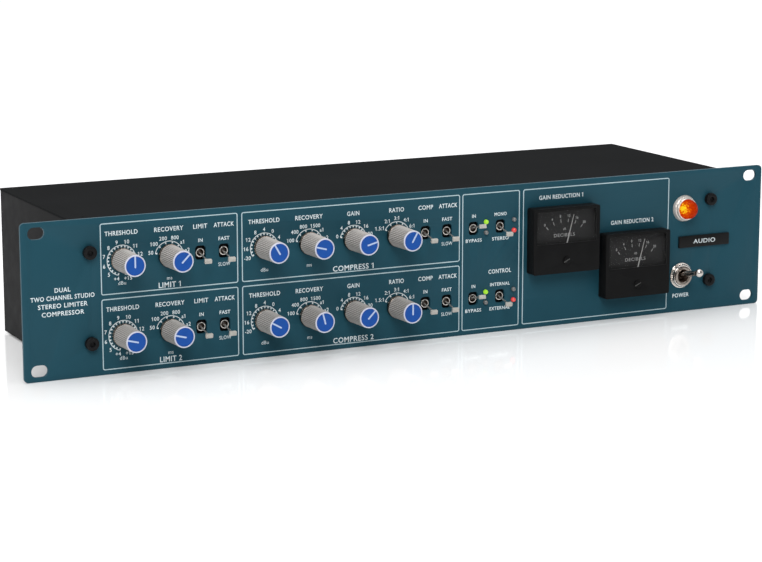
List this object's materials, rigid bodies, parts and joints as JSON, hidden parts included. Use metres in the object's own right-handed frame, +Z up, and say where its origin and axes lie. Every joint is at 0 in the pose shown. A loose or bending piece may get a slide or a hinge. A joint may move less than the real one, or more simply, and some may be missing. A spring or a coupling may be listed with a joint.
{
  "type": "rack compressor",
  "caption": "Two-unit 19 inch rack limiter and compressor with knobs, lever switches, moving-coil needle meters, pilot lamp and power lever.",
  "frame": {"origin": "centre of the four rack slots, on the rear (mounting) face of the front panel", "axes": "+X to the right seen from the front, +Y towards the back of the case, +Z up"},
  "size_m": [0.4826, 0.1561, 0.0882],
  "materials": {
    "panel_paint": "fine powder coat, satin",
    "case_paint": "textured powder coat",
    "cover_paint": "textured powder coat",
    "black_screws": "black oxide",
    "zinc_parts": "zinc plated",
    "bright_nuts": "nickel plated",
    "circuit_board": "solder mask",
    "green_led": "clear lens, lit",
    "red_led": "clear lens, lit",
    "unlit_led": "clear lens, not lit",
    "meter_black": "moulded, satin",
    "meter_dial": "matt",
    "clear_window": "clear acrylic",
    "chrome_trim": "polished",
    "amber_jewel": "faceted lens, lit",
    "bulb_glass": "clear",
    "switch_body": "moulded",
    "badge_black": "satin",
    "capacitor_sleeve": "shrink sleeve",
    "transformer_iron": "varnished laminations",
    "connector_black": "moulded",
    "knob_grey": "fine diamond knurl",
    "lever_tip": "moulded, ribbed",
    "needle_white": "painted",
    "knob_blue": "satin disc",
    "white_print": "screen print"
  },
  "bodies": {
    "case": {"front_panel": "panel_paint", "chassis_tray": "case_paint", "top_cover": "cover_paint", "panel_screws": "black_screws", "chassis_screws": "black_screws", "control_pots": "zinc_parts", "pot_nuts": "bright_nuts", "toggle_switches": "bright_nuts", "control_board": "circuit_board", "leds_green": "green_led", "leds_red": "red_led", "leds_unlit": "unlit_led", "meter_cases": "meter_black", "meter_dials": "meter_dial", "meter_windows": "clear_window", "lamp_bezel": "chrome_trim", "lamp_jewel": "amber_jewel", "pilot_bulb": "bulb_glass", "power_switch": "switch_body", "power_switch_nut": "chrome_trim", "nameplate": "badge_black", "main_board": "circuit_board", "board_standoffs": "bright_nuts", "filter_capacitors": "capacitor_sleeve", "mains_transformer": "transformer_iron", "mains_inlet": "connector_black", "input_sockets": "connector_black", "output_sockets": "connector_black", "control_jacks": "connector_black"},
    "input_1_latch": {"input_1_latch": "bright_nuts"},
    "input_2_latch": {"input_2_latch": "bright_nuts"},
    "limit_1_threshold_knob": {"limit_1_threshold_knob": "knob_grey"},
    "limit_1_recovery_knob": {"limit_1_recovery_knob": "knob_grey"},
    "compress_1_threshold_knob": {"compress_1_threshold_knob": "knob_grey"},
    "compress_1_recovery_knob": {"compress_1_recovery_knob": "knob_grey"},
    "compress_1_gain_knob": {"compress_1_gain_knob": "knob_grey"},
    "compress_1_ratio_knob": {"compress_1_ratio_knob": "knob_grey"},
    "limit_2_threshold_knob": {"limit_2_threshold_knob": "knob_grey"},
    "limit_2_recovery_knob": {"limit_2_recovery_knob": "knob_grey"},
    "compress_2_threshold_knob": {"compress_2_threshold_knob": "knob_grey"},
    "compress_2_recovery_knob": {"compress_2_recovery_knob": "knob_grey"},
    "compress_2_gain_knob": {"compress_2_gain_knob": "knob_grey"},
    "compress_2_ratio_knob": {"compress_2_ratio_knob": "knob_grey"},
    "limit_1_in_lever": {"limit_1_in_lever": "lever_tip"},
    "limit_1_attack_lever": {"limit_1_attack_lever": "lever_tip"},
    "compress_1_in_lever": {"compress_1_in_lever": "lever_tip"},
    "compress_1_attack_lever": {"compress_1_attack_lever": "lever_tip"},
    "bypass_1_lever": {"bypass_1_lever": "lever_tip"},
    "stereo_lever": {"stereo_lever": "lever_tip"},
    "limit_2_in_lever": {"limit_2_in_lever": "lever_tip"},
    "limit_2_attack_lever": {"limit_2_attack_lever": "lever_tip"},
    "compress_2_in_lever": {"compress_2_in_lever": "lever_tip"},
    "compress_2_attack_lever": {"compress_2_attack_lever": "lever_tip"},
    "bypass_2_lever": {"bypass_2_lever": "lever_tip"},
    "external_lever": {"external_lever": "lever_tip"},
    "power_lever": {"power_lever": "chrome_trim"},
    "meter_1_needle": {"meter_1_needle": "needle_white"},
    "meter_2_needle": {"meter_2_needle": "needle_white"},
    "meter_1_adjuster": {"meter_1_adjuster": "meter_black"},
    "meter_2_adjuster": {"meter_2_adjuster": "meter_black"}
  },
  "joints": [
    {"name": "input_1_latch_joint", "type": "slide", "parent": "case", "child": "input_1_latch", "axis": [0, -1, 0], "range_m": [0, 0.0015], "stiffness_N_per_m": 400},
    {"name": "input_2_latch_joint", "type": "slide", "parent": "case", "child": "input_2_latch", "axis": [0, -1, 0], "range_m": [0, 0.0015], "stiffness_N_per_m": 400},
    {"name": "limit_1_threshold_knob_joint", "type": "hinge", "parent": "case", "child": "limit_1_threshold_knob", "pos_m": [-0.184, -0.002, 0.0198], "axis": [0, 1, 0], "range_deg": [-165, 165]},
    {"name": "limit_1_recovery_knob_joint", "type": "hinge", "parent": "case", "child": "limit_1_recovery_knob", "pos_m": [-0.15606, -0.002, 0.0198], "axis": [0, 1, 0], "range_deg": [-120, 30]},
    {"name": "compress_1_threshold_knob_joint", "type": "hinge", "parent": "case", "child": "compress_1_threshold_knob", "pos_m": [-0.0987, -0.002, 0.0198], "axis": [0, 1, 0], "range_deg": [-90, 135]},
    {"name": "compress_1_recovery_knob_joint", "type": "hinge", "parent": "case", "child": "compress_1_recovery_knob", "pos_m": [-0.07076, -0.002, 0.0198], "axis": [0, 1, 0], "range_deg": [0, 150]},
    {"name": "compress_1_gain_knob_joint", "type": "hinge", "parent": "case", "child": "compress_1_gain_knob", "pos_m": [-0.04282, -0.002, 0.0198], "axis": [0, 1, 0], "range_deg": [-150, 0]},
    {"name": "compress_1_ratio_knob_joint", "type": "hinge", "parent": "case", "child": "compress_1_ratio_knob", "pos_m": [-0.01488, -0.002, 0.0198], "axis": [0, 1, 0], "range_deg": [-90, 30]},
    {"name": "limit_2_threshold_knob_joint", "type": "hinge", "parent": "case", "child": "limit_2_threshold_knob", "pos_m": [-0.184, -0.002, -0.0224], "axis": [0, 1, 0], "range_deg": [-90, 240]},
    {"name": "limit_2_recovery_knob_joint", "type": "hinge", "parent": "case", "child": "limit_2_recovery_knob", "pos_m": [-0.15606, -0.002, -0.0224], "axis": [0, 1, 0], "range_deg": [0, 150]},
    {"name": "compress_2_threshold_knob_joint", "type": "hinge", "parent": "case", "child": "compress_2_threshold_knob", "pos_m": [-0.0987, -0.002, -0.0224], "axis": [0, 1, 0], "range_deg": [-60, 165]},
    {"name": "compress_2_recovery_knob_joint", "type": "hinge", "parent": "case", "child": "compress_2_recovery_knob", "pos_m": [-0.07076, -0.002, -0.0224], "axis": [0, 1, 0], "range_deg": [-60, 90]},
    {"name": "compress_2_gain_knob_joint", "type": "hinge", "parent": "case", "child": "compress_2_gain_knob", "pos_m": [-0.04282, -0.002, -0.0224], "axis": [0, 1, 0], "range_deg": [-120, 30]},
    {"name": "compress_2_ratio_knob_joint", "type": "hinge", "parent": "case", "child": "compress_2_ratio_knob", "pos_m": [-0.01488, -0.002, -0.0224], "axis": [0, 1, 0], "range_deg": [-60, 60]},
    {"name": "limit_1_in_lever_joint", "type": "hinge", "parent": "case", "child": "limit_1_in_lever", "pos_m": [-0.13736, 0.0009, 0.0198], "axis": [1, 0, 0], "range_deg": [-24.6, 0]},
    {"name": "limit_1_attack_lever_joint", "type": "hinge", "parent": "case", "child": "limit_1_attack_lever", "pos_m": [-0.12316, 0.0009, 0.0198], "axis": [1, 0, 0], "range_deg": [-24.6, 0]},
    {"name": "compress_1_in_lever_joint", "type": "hinge", "parent": "case", "child": "compress_1_in_lever", "pos_m": [0.00412, 0.0009, 0.0198], "axis": [1, 0, 0], "range_deg": [-24.6, 0]},
    {"name": "compress_1_attack_lever_joint", "type": "hinge", "parent": "case", "child": "compress_1_attack_lever", "pos_m": [0.01832, 0.0009, 0.0198], "axis": [1, 0, 0], "range_deg": [-24.6, 0]},
    {"name": "bypass_1_lever_joint", "type": "hinge", "parent": "case", "child": "bypass_1_lever", "pos_m": [0.0361, 0.0009, 0.0198], "axis": [1, 0, 0], "range_deg": [0, 24.6]},
    {"name": "stereo_lever_joint", "type": "hinge", "parent": "case", "child": "stereo_lever", "pos_m": [0.0542, 0.0009, 0.0198], "axis": [1, 0, 0], "range_deg": [-24.6, 0]},
    {"name": "limit_2_in_lever_joint", "type": "hinge", "parent": "case", "child": "limit_2_in_lever", "pos_m": [-0.13736, 0.0009, -0.0224], "axis": [1, 0, 0], "range_deg": [-24.6, 0]},
    {"name": "limit_2_attack_lever_joint", "type": "hinge", "parent": "case", "child": "limit_2_attack_lever", "pos_m": [-0.12316, 0.0009, -0.0224], "axis": [1, 0, 0], "range_deg": [-24.6, 0]},
    {"name": "compress_2_in_lever_joint", "type": "hinge", "parent": "case", "child": "compress_2_in_lever", "pos_m": [0.00412, 0.0009, -0.0224], "axis": [1, 0, 0], "range_deg": [-24.6, 0]},
    {"name": "compress_2_attack_lever_joint", "type": "hinge", "parent": "case", "child": "compress_2_attack_lever", "pos_m": [0.01832, 0.0009, -0.0224], "axis": [1, 0, 0], "range_deg": [-24.6, 0]},
    {"name": "bypass_2_lever_joint", "type": "hinge", "parent": "case", "child": "bypass_2_lever", "pos_m": [0.0361, 0.0009, -0.0224], "axis": [1, 0, 0], "range_deg": [0, 24.6]},
    {"name": "external_lever_joint", "type": "hinge", "parent": "case", "child": "external_lever", "pos_m": [0.0542, 0.0009, -0.0224], "axis": [1, 0, 0], "range_deg": [-24.6, 0]},
    {"name": "power_lever_joint", "type": "hinge", "parent": "case", "child": "power_lever", "pos_m": [0.1827, 0, -0.0211], "axis": [1, 0, 0], "range_deg": [0, 25]},
    {"name": "meter_1_needle_joint", "type": "hinge", "parent": "case", "child": "meter_1_needle", "pos_m": [0.0954, -0.002, 0.0015], "axis": [0, 1, 0], "range_deg": [-53, 23]},
    {"name": "meter_2_needle_joint", "type": "hinge", "parent": "case", "child": "meter_2_needle", "pos_m": [0.1461, -0.002, -0.0176], "axis": [0, 1, 0], "range_deg": [-53, 23]},
    {"name": "meter_1_adjuster_joint", "type": "hinge", "parent": "case", "child": "meter_1_adjuster", "pos_m": [0.0954, -0.002, -0.0029], "axis": [0, 1, 0], "range_deg": [-60, 60]},
    {"name": "meter_2_adjuster_joint", "type": "hinge", "parent": "case", "child": "meter_2_adjuster", "pos_m": [0.1461, -0.002, -0.022], "axis": [0, 1, 0], "range_deg": [-60, 60]}
  ]
}
